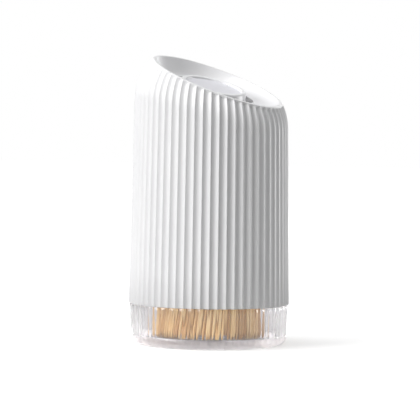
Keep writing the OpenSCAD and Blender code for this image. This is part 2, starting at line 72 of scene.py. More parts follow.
# Shell and its slanted mouth
SHELL_R = 25.0
TOTAL_H = 90.0
RIM_K = math.tan(math.radians(22.4))
DRAFT_K = math.tan(math.radians(1))
SHELL_WALL = 1.05
LIP_W = 0.9
FLUTES = 60
FLUTE_TURN = math.radians(1)
FLUTE_DEPTH = 0.6
SHOULDER_HIGH = 14.1
SHOULDER_LOW = 7.9
INSET_HIGH = 6.6
INSET_LOW = 1.9
SKIN = SHELL_WALL + FLUTE_DEPTH
FLUTE_FADE = 0.35
RIM_EDGE = 0.15
INNER_DROP = 0.6

# Bowl
BOWL_WALL = 1.2
HOLE_R = 13.0
HOLE_EDGE_H = 2.2
HOLE_EDGE_W = 0.9
BOWL_POWER = 2.2
COLLAR_H = 2.5
COLLAR_WALL = 0.9
SEAT_GAP = 0.04

# Button
BUTTON_R = 10.0
BUTTON_SHIFT = 0.9
BUTTON_TURN = math.radians(-16)
FLOOR_K = math.tan(math.radians(18))
BUTTON_DROP = 1.9
BUTTON_STAND = 1.6
RING_W = 1.2
FACE_DROP = 0.7
DISH_DEPTH = 0.5
DISH_LAND = 0.2
DISC_T = 1.2
CAP_T = 1.2
SKIRT_H = 8.4
CAP_H = 10.9
HUB_R = 5.0

# Clear cup
CUP_H = 12.6
CUP_STEP = 0.35
CUP_R = SHELL_R - CUP_STEP
CUP_DRAFT_K = math.tan(math.radians(2.6))
CUP_FLUTE_DEPTH = 0.25
CUP_EDGE = 0.1
CORNER_H = 2.4
CORNER_W = 2.25
FLOOR_T = 0.8
SPIGOT_H = 8.5
SPIGOT_WALL = 1.2
SPIGOT_GAP = 0.12
CAVITY_BEND = 1.4
BOSS_R = 3.8
BOSS_H = 2.2
SOCKET_H = 0.8
SOCKET_R = 2.64
SCREW_HOLE_R = 1.4
SCREW_SINK_R = 2.5
SCREW_SINK_H = 1.3

# Lifting core
COLUMN_R = 5.0
FLANGE_ROOM_R = 6.85
TRAY_Z = 1.71
TRAY_T = 0.8
TRAY_WALL = 0.7
TRAY_H = 30.0
TRAY_GAP = 3.0
HUB_SEAT_R = 8.0
LIFT = 20.0

# Lift spring
WIRE_R = 0.3
COIL_R = 2.2
COILS = 11

# Toothpicks
PICK_LEN = 65.0
PICK_R = 0.75
POINT_LEN = 9.0
FOOT_POINT_LEN = 2.2
TIP_R = 0.225
TIP_END_R = TIP_R * 0.6
TIP_LEN = 0.25
PICK_TWIST = math.radians(52)
PICK_SWAY = 0.07
TINT_LOW = 0.2
TINT_HIGH = 0.8
PASS_GAP = 0.25
WALL_GAP = 0.1
COLUMN_GAP = 0.15
FOOT_GAP = 0.06

# How far an edge's round reaches along the two faces that meet there
FINE_EDGE = 0.1
CRISP_EDGE = 0.15
EASED_EDGE = 0.2
SOFT_EDGE = 0.3
LIP_OUT_EDGE = 0.14
LIP_IN_EDGE = 0.12
SHELL_FOOT_EDGE = 0.12
SHELL_FOOT_CUT = 0.08
DISC_EDGE = 0.12
HOLE_TOP_EDGE = 0.45
RING_OUT_EDGE = 0.4
SKIRT_OUT_EDGE = 0.25
TRAY_RIM_EDGE = 0.25

# Rows and columns of the meshes
SIDE_ROWS = 6
SHOULDER_ROWS = 26
INNER_ROWS = 8
RIM_CROWD = 1.3
BOWL_ROWS = 36
BOWL_CROWD = 1.15
BOWL_COLUMNS = 240
COLLAR_ROWS = 4
COLLAR_REACH = 0.97
UNDER_ROWS = 10
SLOPE_STEP = 0.02
DISH_ROWS = 15
BUTTON_COLUMNS = 192
CORNER_ROWS = 10
CUP_SIDE_ROWS = 7
BEND_ROWS = 6
TRAY_COLUMNS = 144
PICK_SIDES = 9
WIRE_SIDES = 10
COIL_STEPS = 28
ROUND_STEPS = 4
# shares of a flute at which its columns stand, crowded at each arris, where the flutes meet
ARRIS_STEPS = (0, 0.035, 0.09, 0.18, 0.32, 0.5, 0.68, 0.82, 0.91, 0.965)
ARRIS_SOFTNESS = 0.03
SHARP_ANGLE = math.radians(50)
FLUTED_SHARP_ANGLE = math.radians(62)

# ---------------------------------------------------------------- the object's own curves


def body_r(z):
    return SHELL_R - (z - CUP_H) * DRAFT_K


def high_share(a):
    """How much of the high side's shoulder there is at angle a, from 0 to 1."""
    return ((1 - math.cos(a)) / 2) ** 2


def shoulder_h(a):
    return SHOULDER_LOW + (SHOULDER_HIGH - SHOULDER_LOW) * high_share(a)


def inset(a):
    return INSET_LOW + (INSET_HIGH - INSET_LOW) * high_share(a)


def arc_r(a):
    """Radius of the shoulder's arc."""
    return (shoulder_h(a) ** 2 + inset(a) ** 2) / (2 * inset(a))


def arc_turn(a):
    """Angle of the shoulder's arc, from its foot to the rim."""
    return 2 * math.atan(inset(a) / shoulder_h(a))


RIM_MID_Z = TOTAL_H - RIM_K * (body_r(TOTAL_H - SHOULDER_HIGH) - INSET_HIGH)
RING_Z = RIM_MID_Z - BUTTON_DROP
BOWL_FLOOR_Z = RING_Z - BUTTON_STAND
SHELL_Z = CUP_H + SEAT_GAP
SPIGOT_Z = CUP_H + SPIGOT_H
SPIGOT_R = body_r(SPIGOT_Z) - SKIN - SPIGOT_GAP
CUP_INNER_R = SPIGOT_R - SPIGOT_WALL
TRAY_TOP = TRAY_Z + TRAY_T
TRAY_R = CUP_INNER_R - TRAY_GAP


def rim_r(a):
    upright = SHELL_R - DRAFT_K * (RIM_MID_Z - shoulder_h(a) - CUP_H) - inset(a)
    return upright / (1 - DRAFT_K * RIM_K * math.cos(a))


def rim_z(r, a):
    return RIM_MID_Z - RIM_K * r * math.cos(a)


def on_shoulder(a, share, depth):
    """A point of the shoulder's arc, from its foot (share 0) to the rim (1), sunk by depth."""
    radius = arc_r(a)
    turn = share * arc_turn(a)
    foot_z = rim_z(rim_r(a), a) - shoulder_h(a)
    r = body_r(foot_z) - radius + (radius - depth) * math.cos(turn)
    return r, foot_z + (radius - depth) * math.sin(turn), turn


def hole_z(a):
    return BOWL_FLOOR_Z - FLOOR_K * HOLE_R * math.cos(a)


def on_bowl(a, share):
    """A point of the bowl's face, from its rim (share 0) to the hole's edge (1)."""
    start = rim_r(a) - LIP_W - SEAT_GAP
    r = start + (HOLE_R - start) * share
    drop = rim_z(HOLE_R, a) - hole_z(a)
    return r, rim_z(r, a) - drop * (1 - (1 - share) ** BOWL_POWER)


def cup_side_r(z):
    return CUP_R - (CUP_H - z) * CUP_DRAFT_K


# ---------------------------------------------------------------- mesh helpers

# the most of a neighbouring face that an edge's round may take
MOST_OF_FACE = 0.45


def in_scene(name, data):
    made = bpy.data.objects.new(name, data)
    bpy.context.scene.collection.objects.link(made)
    return made


def softened(corners):
    """Corner points (r, z, cut) as a line on which each corner with a cut is a small arc."""
    line = []
    count = len(corners)
    for i, (r, z, cut) in enumerate(corners):
        if cut == 0:
            line.append((r, z))
            continue
        here = Vector((r, z))
        before = Vector(corners[i - 1][:2]) - here
        after = Vector(corners[(i + 1) % count][:2]) - here
        start = here + before.normalized() * min(cut, before.length * MOST_OF_FACE)
        end = here + after.normalized() * min(cut, after.length * MOST_OF_FACE)
        for k in range(ROUND_STEPS + 1):
            s = k / ROUND_STEPS
            p = start * (1 - s) ** 2 + here * (2 * s * (1 - s)) + end * s ** 2
            line.append((p.x, p.y))
    return line


def swept(name, section, angles, capped=False, shift=0.0, turn=0.0):
    """A body swept round an upright line: section(a) is a line of (r, z), outside first, upwards.

    Closed sections make a ring. Capped ones start and end on the line and share two poles.
    The line stands at x = shift, and the whole is turned about the axis.
    """
    lines = [section(a) for a in angles]
    columns = len(angles)
    points = []
    for a, line in zip(angles, lines):
        for p in line[1:-1] if capped else line:
            points.append(((shift + p[0] * math.cos(a)) * MM, p[0] * math.sin(a) * MM, p[1] * MM))
    rows = len(points) // columns
    faces = []
    for i in range(columns):
        here = i * rows
        there = (i + 1) % columns * rows
        for j in range(rows - 1 if capped else rows):
            k = (j + 1) % rows
            faces.append((here + j, there + j, there + k, here + k))
    if capped:
        foot = len(points)
        points.append((shift * MM, 0, lines[0][0][1] * MM))
        points.append((shift * MM, 0, lines[0][-1][1] * MM))
        for i in range(columns):
            here = i * rows
            there = (i + 1) % columns * rows
            faces.append((foot, there, here))
            faces.append((foot + 1, here + rows - 1, there + rows - 1))
    mesh = bpy.data.meshes.new(name)
    mesh.from_pydata(points, [], faces)
    mesh.transform(Matrix.Rotation(turn, 4, "Z"))
    mesh.validate()
    mesh.shade_smooth()
    mesh.set_sharp_from_angle(angle=SHARP_ANGLE)
    return in_scene(name, mesh)


def around(count):
    return [2 * math.pi * i / count for i in range(count)]


def flute_columns():
    """The angles of all columns of a fluted mesh."""
    return [
        FLUTE_TURN + 2 * math.pi * (k + s) / FLUTES for k in range(FLUTES) for s in ARRIS_STEPS]


def baked(piece, name):
    """The piece as Geometry Nodes left it, as a plain mesh under a new name."""
    bpy.context.view_layer.update()
    graph = bpy.context.evaluated_depsgraph_get()
    mesh = bpy.data.meshes.new_from_object(piece.evaluated_get(graph))
    mesh.name = name
    made = in_scene(name, mesh)
    bpy.data.objects.remove(piece)
    return made


def dress(piece, body, slot_name, *nodes):
    """Puts a finished piece on its body, in place of its CAD nodes."""
    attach(piece, body)
    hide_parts(*nodes)


# ---------------------------------------------------------------- node helpers


def feed(tree, socket, value):
    """Sets an input to a value, or links it to another node's output."""
    if isinstance(value, bpy.types.NodeSocket):
        tree.links.new(value, socket)
    else:
        socket.default_value = value


def set_inputs(tree, node, inputs):
    for name, value in inputs.items():
        feed(tree, node.inputs[name], value)


def add_node(tree, kind, inputs):
    node = tree.nodes.new(kind)
    set_inputs(tree, node, inputs)
    return node


def maths(tree, operation, *values):
    node = tree.nodes.new("ShaderNodeMath")
    node.operation = operation
    for socket, value in zip(node.inputs, values):
        feed(tree, socket, value)
    return node.outputs["Value"]


def sum_of_squares(tree, first, second):
    return maths(tree, "ADD", maths(tree, "POWER", first, 2.0), maths(tree, "POWER", second, 2.0))


def length(tree, vector):
    node = tree.nodes.new("ShaderNodeVectorMath")
    node.operation = "LENGTH"
    set_inputs(tree, node, {"Vector": vector})
    return node.outputs["Value"]


# ---------------------------------------------------------------- finishes

# the useful middle of a noise
NOISE_LOW = 0.3
NOISE_HIGH = 0.7

PLASTIC_IOR = 1.49
COAT_ROUGH = 0.3
COAT_IOR = 1.6
PASSED_TINT = (0.97, 0.965, 0.97, 1)
SATIN_TINT = (1, 0.965, 0.97, 1)
SATIN_ROUGH = 0.8
SATIN_BAND = 1
MARK_SHADE = 0.86


def new_material(name):
    material = bpy.data.materials.new(name)
    material.use_nodes = True
    tree = material.node_tree
    return material, tree, tree.nodes["Principled BSDF"]


def object_place(tree):
    return tree.nodes.new("ShaderNodeTexCoord").outputs["Object"]


def pick_value(tree, name):
    """The outputs of a value that the picks' mesh carries."""
    node = tree.nodes.new("ShaderNodeAttribute")
    node.attribute_name = name
    return node.outputs


def noise(tree, place, size_mm, detail=2.0, stretch=(1, 1, 1)):
    """A noise whose grains are about size_mm wide, drawn out where stretch is under 1."""
    mapping = add_node(tree, "ShaderNodeMapping", {"Vector": place, "Scale": stretch})
    texture = add_node(tree, "ShaderNodeTexNoise", {
        "Vector": mapping.outputs["Vector"], "Scale": 1 / (size_mm * MM), "Detail": detail})
    return texture.outputs["Fac"]


def spread(tree, value, low, high):
    """Maps the useful middle of a noise to the range from low to high."""
    between = add_node(tree, "ShaderNodeMapRange", {
        "Value": value, "From Min": NOISE_LOW, "From Max": NOISE_HIGH,
        "To Min": low, "To Max": high})
    return between.outputs["Result"]


def tinted(tree, value, dark, light):
    """A colour between dark and light over the useful middle of a noise."""
    ramp = add_node(tree, "ShaderNodeValToRGB", {"Fac": value})
    for i, (place, colour) in enumerate(((NOISE_LOW, dark), (NOISE_HIGH, light))):
        ramp.color_ramp.elements[i].position = place
        ramp.color_ramp.elements[i].color = (*colour, 1)
    return ramp.outputs["Color"]


def mixed(tree, factor, first, second, blend="MIX"):
    mix = tree.nodes.new("ShaderNodeMix")
    mix.data_type = "RGBA"
    mix.blend_type = blend
    set_inputs(tree, mix, {"Factor": factor, "A": first, "B": second})
    return mix.outputs["Result"]


def bumped(tree, shader, height, depth_mm):
    bump = add_node(tree, "ShaderNodeBump", {
        "Height": height, "Strength": 1.0, "Distance": depth_mm * MM})
    feed(tree, shader.inputs["Normal"], bump.outputs["Normal"])


def moulded_plastic(name, dark, light, rough=(0.36, 0.46), grain_mm=0.18, grain_depth=0.004):
    """White moulded plastic: a spark-eroded grain, faint flow clouds and uneven sheen."""
    material, tree, shader = new_material(name)
    place = object_place(tree)
    clouds = noise(tree, place, size_mm=14, detail=3, stretch=(1, 1, 0.35))
    sheen = noise(tree, place, size_mm=5)
    set_inputs(tree, shader, {
        "Base Color": tinted(tree, clouds, dark, light),
        "Roughness": spread(tree, sheen, *rough),
        "IOR": PLASTIC_IOR})
    bumped(tree, shader, noise(tree, place, grain_mm, detail=3), grain_depth)
    return material


def clear_plastic(name, tint, ior, rough, gloss, satin_z=None):
    """Clear moulded plastic with faint flow waves; lamps and bounced light pass it unbent.

    Under satin_z, in millimetres, the surface turns from polished to a paler satin.
    """
    material, tree, shader = new_material(name)
    place = object_place(tree)
    colour = (*tint, 1)
    haze = spread(tree, noise(tree, place, size_mm=6), *rough)
    if satin_z:
        height = add_node(tree, "ShaderNodeSeparateXYZ", {"Vector": place})
        satin = add_node(tree, "ShaderNodeMapRange", {
            "Value": height.outputs["Z"], "From Min": satin_z * MM,
            "From Max": (satin_z - SATIN_BAND) * MM, "To Max": SATIN_ROUGH}).outputs["Result"]
        colour = mixed(tree, satin, colour, SATIN_TINT)
        haze = maths(tree, "ADD", haze, satin)
    set_inputs(tree, shader, {
        "Base Color": colour, "Roughness": haze, "Transmission Weight": 1.0, "IOR": ior,
        "Coat Weight": gloss, "Coat Roughness": COAT_ROUGH, "Coat IOR": COAT_IOR})
    bumped(tree, shader, noise(tree, place, size_mm=4, detail=1, stretch=(1, 1, 0.4)), 0.01)
    passed = add_node(tree, "ShaderNodeBsdfTransparent", {"Color": PASSED_TINT})
    ray = tree.nodes.new("ShaderNodeLightPath").outputs
    chosen = add_node(tree, "ShaderNodeMixShader", {
        "Fac": maths(tree, "MAXIMUM", ray["Is Shadow Ray"], ray["Is Diffuse Ray"]),
        1: shader.outputs["BSDF"], 2: passed.outputs["BSDF"]})
    feed(tree, tree.nodes["Material Output"].inputs["Surface"], chosen.outputs["Shader"])
    return material


def bamboo_wood(name):
    """Split bamboo: each pick has its own tint, with fibres and dark vessels along it."""
    material, tree, shader = new_material(name)
    own_place = pick_value(tree, "pick_place")["Vector"]
    own_tint = pick_value(tree, "pick_tint")["Fac"]
    fibres = noise(tree, own_place, size_mm=0.45, detail=4, stretch=(1, 1, 0.02))
    wood = tinted(tree, fibres, (0.58, 0.31, 0.09), (0.96, 0.74, 0.38))
    pale = tinted(tree, own_tint, (0.62, 0.5, 0.38), (1, 1, 1))
    set_inputs(tree, shader, {
        "Base Color": mixed(tree, 1.0, wood, pale, "MULTIPLY"),
        "Roughness": spread(tree, fibres, 0.72, 0.55)})
    bumped(tree, shader, fibres, 0.03)
    return material


def drawn_steel(name, tone, rough=(0.22, 0.38), streak=(1, 1, 0.08)):
    """Bright steel with fine draw marks."""
    material, tree, shader = new_material(name)
    marks = noise(tree, object_place(tree), size_mm=0.08, detail=3, stretch=streak)
    dark = tuple(MARK_SHADE * c for c in tone)
    set_inputs(tree, shader, {
        "Base Color": tinted(tree, marks, dark, tone),
        "Roughness": spread(tree, marks, *rough),
        "Metallic": 1.0})
    bumped(tree, shader, marks, 0.003)
    return material


shell_white = moulded_plastic("shell_white", (0.83, 0.83, 0.84), (0.87, 0.87, 0.875))
bowl_white = moulded_plastic(
    "bowl_white", (0.84, 0.84, 0.855), (0.87, 0.87, 0.88),
    rough=(0.3, 0.38), grain_mm=0.12, grain_depth=0.002)
disc_white = moulded_plastic(
    "disc_white", (0.74, 0.74, 0.78), (0.77, 0.77, 0.81),
    rough=(0.3, 0.36), grain_mm=0.12, grain_depth=0.002)
core_white = moulded_plastic(
    "core_white", (0.8, 0.8, 0.79), (0.85, 0.85, 0.84),
    rough=(0.42, 0.55), grain_mm=0.25, grain_depth=0.006)
acetal = moulded_plastic(
    "acetal", (0.78, 0.77, 0.72), (0.83, 0.82, 0.77),
    rough=(0.3, 0.42), grain_mm=0.2, grain_depth=0.003)
clear_cup = clear_plastic(
    "clear_cup", (0.73, 0.72, 0.73), ior=1.15, rough=(0.05, 0.12), gloss=1.0, satin_z=3.2)
clear_tray = clear_plastic(
    "clear_tray", (0.975, 0.97, 0.98), ior=1.1, rough=(0.04, 0.1), gloss=0.0)
bamboo = bamboo_wood("bamboo")
steel = drawn_steel("steel", (0.62, 0.63, 0.65))
clip_steel = drawn_steel("clip_steel", (0.84, 0.83, 0.82), rough=(0.5, 0.6))
spring_steel = drawn_steel(
    "spring_steel", (0.5, 0.51, 0.53), rough=(0.25, 0.4), streak=(1, 1, 1))

# ---------------------------------------------------------------- Geometry Nodes helpers


def new_tree(name, inputs):
    """A tree with a mesh in and a mesh out, and the identifiers of its other inputs."""
    tree = bpy.data.node_groups.new(name, "GeometryNodeTree")
    tree.interface.new_socket("Geometry", in_out="INPUT", socket_type="NodeSocketGeometry")
    tree.interface.new_socket("Geometry", in_out="OUTPUT", socket_type="NodeSocketGeometry")
    sockets = {}
    for label, kind in inputs.items():
        socket = tree.interface.new_socket(
            label, in_out="INPUT", socket_type="NodeSocket" + kind)
        sockets[label] = socket.identifier
    return tree, sockets


def end_tree(tree, geometry, material):
    """Makes one painted mesh of the geometry and passes it out."""
    real = add_node(tree, "GeometryNodeRealizeInstances", {"Geometry": geometry})
    painted = add_node(tree, "GeometryNodeSetMaterial", {
        "Geometry": real.outputs["Geometry"], "Material": material})
    add_node(tree, "NodeGroupOutput", {"Geometry": painted.outputs["Geometry"]})


def add_tree(piece, name, tree, sockets, values):
    modifier = piece.modifiers.new(name, "NODES")
    modifier.node_group = tree
    for label, value in values.items():
        modifier[sockets[label]] = value


def position(tree):
    """The outputs X, Y and Z of each point's place."""
    place = tree.nodes.new("GeometryNodeInputPosition").outputs["Position"]
    return add_node(tree, "ShaderNodeSeparateXYZ", {"Vector": place}).outputs


def vector_of(tree, **parts):
    """A vector of the parts X, Y and Z, of which those not given are 0."""
    return add_node(tree, "ShaderNodeCombineXYZ", parts).outputs["Vector"]


def scaled(tree, vector, scale):
    node = tree.nodes.new("ShaderNodeVectorMath")
    node.operation = "SCALE"
    set_inputs(tree, node, {"Vector": vector, "Scale": scale})
    return node.outputs["Vector"]


def named_value(tree, name, kind="FLOAT"):
    node = tree.nodes.new("GeometryNodeInputNamedAttribute")
    node.data_type = kind
    set_inputs(tree, node, {"Name": name})
    return node.outputs["Attribute"]


# ---------------------------------------------------------------- Geometry Nodes: the flutes


def build_flute_tree():
    """Cuts concave flutes round the axis into a body, along its own inward direction."""
    tree, sockets = new_tree("cut_flutes", {
        "Flutes": "Int", "First Arris": "Float", "Depth": "Float", "Arris Softness": "Float",
        "Material": "Material"})
    given = tree.nodes.new("NodeGroupInput").outputs

    # where a point lies across its flute, from 0 at one arris to 1 at the next
    place = position(tree)
    angle = maths(tree, "ARCTAN2", place["Y"], place["X"])
    from_first = maths(tree, "SUBTRACT", angle, given["First Arris"])
    turns = maths(tree, "DIVIDE", from_first, 2 * math.pi)
    across = maths(tree, "FRACT", maths(tree, "MULTIPLY", turns, given["Flutes"]))

    # distance from the nearer arris, rounded so that the arris isn't a knife edge
    softness = given["Arris Softness"]
    plain = maths(tree, "MINIMUM", across, maths(tree, "SUBTRACT", 1.0, across))
    rounded = maths(tree, "SQRT", sum_of_squares(tree, plain, softness))
    near = maths(tree, "SUBTRACT", rounded, softness)

    # a bow that is 0 at each arris and 1 in the middle of the flute
    bow = maths(tree, "MULTIPLY", near, maths(tree, "SUBTRACT", 1.0, near))
    depth = maths(tree, "MULTIPLY", maths(tree, "MULTIPLY", bow, 4.0), given["Depth"])
    cut = add_node(tree, "GeometryNodeSetPosition", {
        "Geometry": given["Geometry"],
        "Offset": scaled(tree, named_value(tree, "inward", "FLOAT_VECTOR"), depth)})

    # nothing reaches further out than its own limit, such as the cup's rounded foot
    place = position(tree)
    reach = length(tree, vector_of(tree, X=place["X"], Y=place["Y"]))
    shrink = maths(tree, "MINIMUM", 1.0, maths(tree, "DIVIDE", named_value(tree, "limit"), reach))
    kept = vector_of(
        tree, X=maths(tree, "MULTIPLY", place["X"], shrink),
        Y=maths(tree, "MULTIPLY", place["Y"], shrink), Z=place["Z"])
    limited = add_node(tree, "GeometryNodeSetPosition", {
        "Geometry": cut.outputs["Geometry"], "Position": kept})

    cleaned = limited.outputs["Geometry"]
    for name in ("inward", "limit"):
        cleaned = add_node(tree, "GeometryNodeRemoveAttribute", {
            "Geometry": cleaned, "Name": name}).outputs["Geometry"]
    end_tree(tree, cleaned, given["Material"])
    return tree, sockets


flute_tree, flute_sockets = build_flute_tree()
NO_LIMIT = 1.0


def fluted(name, section, material, depth=FLUTE_DEPTH):
    """A ring swept from section(a), a line of (r, z, inward r, inward z, limit), then fluted.

    The limit, in metres, is the furthest that a point may reach from the axis.
    """
    angles = flute_columns()
    plain = swept(name + "_plain", lambda a: [p[:2] for p in section(a)], angles)
    inward = []
    limit = []
    for a in angles:
        for _, _, in_r, in_z, most in section(a):
            inward += [in_r * math.cos(a), in_r * math.sin(a), in_z]
            limit.append(most)
    attributes = plain.data.attributes
    attributes.new("inward", "FLOAT_VECTOR", "POINT").data.foreach_set("vector", inward)
    attributes.new("limit", "FLOAT", "POINT").data.foreach_set("value", limit)
    add_tree(plain, "flutes", flute_tree, flute_sockets, {
        "Flutes": FLUTES, "First Arris": FLUTE_TURN, "Depth": depth * MM,
        "Arris Softness": ARRIS_SOFTNESS, "Material": material})
    piece = baked(plain, name)
    piece.data.shade_smooth()
    piece.data.set_sharp_from_angle(angle=FLUTED_SHARP_ANGLE)
    return piece


def cut_straight_in(r, z, limit=NO_LIMIT):
    """A point that the flutes move straight towards the axis."""
    return r, z, -1, 0, limit


def still(line):
    """Points that the flutes leave alone."""
    return [(r, z, 0, 0, NO_LIMIT) for r, z in line]


# ---------------------------------------------------------------- shell and bowl


def shell_section(a):
    rows = []
    foot_z = on_shoulder(a, 0, 0)[1]
    for k in range(SIDE_ROWS):
        climb = (foot_z - SHELL_Z - SHELL_FOOT_EDGE) * k / SIDE_ROWS
        z = SHELL_Z + SHELL_FOOT_EDGE + climb
        rows.append(cut_straight_in(body_r(z), z))
    top_r, top_z, top_turn = on_shoulder(a, 1, 0)
    arc = arc_r(a) * top_turn
    for k in range(SHOULDER_ROWS):
        share = 1 - (1 - k / SHOULDER_ROWS) ** RIM_CROWD
        share = min(share, 1 - RIM_EDGE / arc)
        r, z, turn = on_shoulder(a, share, 0)
        fade = min(1.0, max(0.0, (1 - share) * arc - RIM_EDGE) / FLUTE_FADE)
        fade = fade * fade * (3 - 2 * fade)
        rows.append((r, z, -math.cos(turn) * fade, -math.sin(turn) * fade, NO_LIMIT))

    # the lip, and the inner face down to the foot
    inner_share = 1 - INNER_DROP / arc
    rows += still(softened([
        (*rows[-1][:2], 0),
        (top_r, top_z, LIP_OUT_EDGE),
        (top_r - LIP_W, rim_z(top_r - LIP_W, a), LIP_IN_EDGE),
        (*on_shoulder(a, inner_share, SKIN)[:2], 0)])[1:-1])
    for k in range(INNER_ROWS, -1, -1):
        rows += still([on_shoulder(a, inner_share * k / INNER_ROWS, SKIN)[:2]])
    foot_r = body_r(SHELL_Z)
    rows += still(softened([
        (foot_r - SKIN, SHELL_Z + 1, 0),
        (foot_r - SKIN, SHELL_Z, SHELL_FOOT_EDGE),
        (foot_r - FLUTE_DEPTH, SHELL_Z, 0)]))
    rows.append(cut_straight_in(foot_r - SHELL_FOOT_CUT, SHELL_Z))
    return rows


outer_shell = fluted("fluted_shell", shell_section, shell_white)
dress(outer_shell, "shell", "shell_white", "outer_shell")


def bowl_section(a):
    # the collar lies against the shell's inner face, under the lip
    low = 1 - COLLAR_H / (arc_r(a) - SKIN) / arc_turn(a)
    deep = SKIN + SEAT_GAP
    line = [on_shoulder(a, low, deep + COLLAR_WALL)[:2]]
    for k in range(COLLAR_ROWS + 1):
        share = low + (1 - low) * k / COLLAR_ROWS * COLLAR_REACH
        line.append(on_shoulder(a, share, deep)[:2])
    line += [on_bowl(a, (k / BOWL_ROWS) ** BOWL_CROWD) for k in range(BOWL_ROWS)]

    # the hole's edge; its first and last corners only give directions
    edge_z = hole_z(a) - HOLE_EDGE_H
    line += softened([
        (*on_bowl(a, (BOWL_ROWS - 1) / BOWL_ROWS), 0),
        (HOLE_R, hole_z(a), HOLE_TOP_EDGE),
        (HOLE_R, edge_z, EASED_EDGE),
        (HOLE_R + HOLE_EDGE_W, edge_z, EASED_EDGE),
        (HOLE_R + 0.95, edge_z + 1.2, 0)])[1:-1]

    # the underside, one wall below the face
    for k in range(UNDER_ROWS - 2, 1, -1):
        r, z = on_bowl(a, k / UNDER_ROWS)
        ahead = on_bowl(a, k / UNDER_ROWS + SLOPE_STEP)
        along = Vector((ahead[0] - r, ahead[1] - z)).normalized()
        line.append((r - along.y * BOWL_WALL, z + along.x * BOWL_WALL))
    return line


bowl_liner = swept("smooth_bowl", bowl_section, around(BOWL_COLUMNS))
bowl_liner.data.materials.append(bowl_white)
dress(bowl_liner, "shell", "bowl_white", "bowl_liner")

# ---------------------------------------------------------------- button

FACE_R = BUTTON_R - RING_W
SEAT_DROP = FACE_DROP + DISC_T
SKIRT_Z = RING_Z - SKIRT_H
HUB_Z = RING_Z - CAP_H


def on_face(r, a, drop):
    """A point on the button's slanted face, drop below the ring's plane; r is from its middle."""
    return r, RING_Z - drop - FLOOR_K * (BUTTON_SHIFT + r * math.cos(a))


def cap_section(a):
    under = SEAT_DROP + CAP_T
    # the hub stays on the axis, beside the button's middle
    hub_r = math.sqrt(HUB_R ** 2 - (BUTTON_SHIFT * math.sin(a)) ** 2) - BUTTON_SHIFT * math.cos(a)
    return softened([
        (0, HUB_Z, 0),
        (hub_r, HUB_Z, SOFT_EDGE),
        (*on_face(hub_r, a, under), SOFT_EDGE),
        (*on_face(FACE_R, a, under), SOFT_EDGE),
        (FACE_R, SKIRT_Z, CRISP_EDGE),
        (BUTTON_R, SKIRT_Z, SKIRT_OUT_EDGE),
        (*on_face(BUTTON_R, a, 0), RING_OUT_EDGE),
        (*on_face(FACE_R, a, 0), SOFT_EDGE),
        (*on_face(FACE_R, a, SEAT_DROP), FINE_EDGE),
        (*on_face(0, a, SEAT_DROP), 0)])


def disc_section(a):
    edge = FACE_R - SEAT_GAP
    under = SEAT_DROP - SEAT_GAP
    dish_r = edge - DISH_LAND
    line = [on_face(0, a, under), on_face(edge, a, under)]
    line += softened([
        (*on_face(edge, a, under), 0),
        (*on_face(edge, a, FACE_DROP), DISC_EDGE),
        (*on_face(edge - 2 * DISH_LAND, a, FACE_DROP), 0)])[1:-1]
    for k in range(DISH_ROWS + 1):
        r = dish_r * (1 - k / DISH_ROWS)
        line.append(on_face(r, a, FACE_DROP + DISH_DEPTH * (1 - (r / dish_r) ** 2)))
    return line


button_cap = swept(
    "ringed_button", cap_section, around(BUTTON_COLUMNS), True, BUTTON_SHIFT, BUTTON_TURN)
button_cap.data.materials.append(bowl_white)
dress(button_cap, "core", "bowl_white", "button_cap")

button_disc = swept(
    "dished_disc", disc_section, around(BUTTON_COLUMNS), True, BUTTON_SHIFT, BUTTON_TURN)
button_disc.data.materials.append(disc_white)
dress(button_disc, "core", "disc_white", "button_disc")

# ---------------------------------------------------------------- clear cup and tray


def cup_section(a):
    rows = []
    foot_r = cup_side_r(CORNER_H) - CORNER_W
    for k in range(CORNER_ROWS + 1):
        z = CORNER_H * (1 - math.cos(math.pi / 2 * k / CORNER_ROWS))
        most = foot_r + CORNER_W * math.sqrt(1 - (1 - z / CORNER_H) ** 2)
        rows.append(cut_straight_in(cup_side_r(z), z, most * MM))
    for k in range(1, CUP_SIDE_ROWS + 1):
        z = CORNER_H + (CUP_H - CUP_EDGE - CORNER_H) * k / CUP_SIDE_ROWS
        rows.append(cut_straight_in(cup_side_r(z), z))
    rows.append(cut_straight_in(CUP_R - CUP_EDGE, CUP_H))

    # the spigot and the cavity's side; the first and last corners only give directions
    inner = softened([
        (SPIGOT_R + 0.5, CUP_H, 0),
        (SPIGOT_R, CUP_H, FINE_EDGE),
        (SPIGOT_R, SPIGOT_Z, SOFT_EDGE),
        (CUP_INNER_R, SPIGOT_Z, EASED_EDGE),
        (CUP_INNER_R, FLOOR_T + CAVITY_BEND + 4, 0)])[1:-1]
    for k in range(BEND_ROWS + 1):
        turn = math.pi / 2 * (1 - k / BEND_ROWS)
        inner.append((
            CUP_INNER_R - CAVITY_BEND + CAVITY_BEND * math.sin(turn),
            FLOOR_T + CAVITY_BEND - CAVITY_BEND * math.cos(turn)))

    # the boss with the post's socket and the screw's sink, and a last row on the foot
    inner += softened([
        (CUP_INNER_R - 2, FLOOR_T, 0),
        (BOSS_R, FLOOR_T, SOFT_EDGE),
        (BOSS_R, FLOOR_T + BOSS_H, CRISP_EDGE),
        (SOCKET_R, FLOOR_T + BOSS_H, FINE_EDGE),
        (SOCKET_R, FLOOR_T + BOSS_H - SOCKET_H, 0),
        (SCREW_HOLE_R, FLOOR_T + BOSS_H - SOCKET_H, 0),
        (SCREW_HOLE_R, SCREW_SINK_H, 0),
        (SCREW_SINK_R, SCREW_SINK_H, 0),
        (SCREW_SINK_R, 0, CRISP_EDGE),
        (foot_r - 1, 0, 0)])[1:]
    return rows + still(inner)


base_cup = fluted("fluted_cup", cup_section, clear_cup, CUP_FLUTE_DEPTH)
dress(base_cup, "base", "clear_cup", "base_cup")


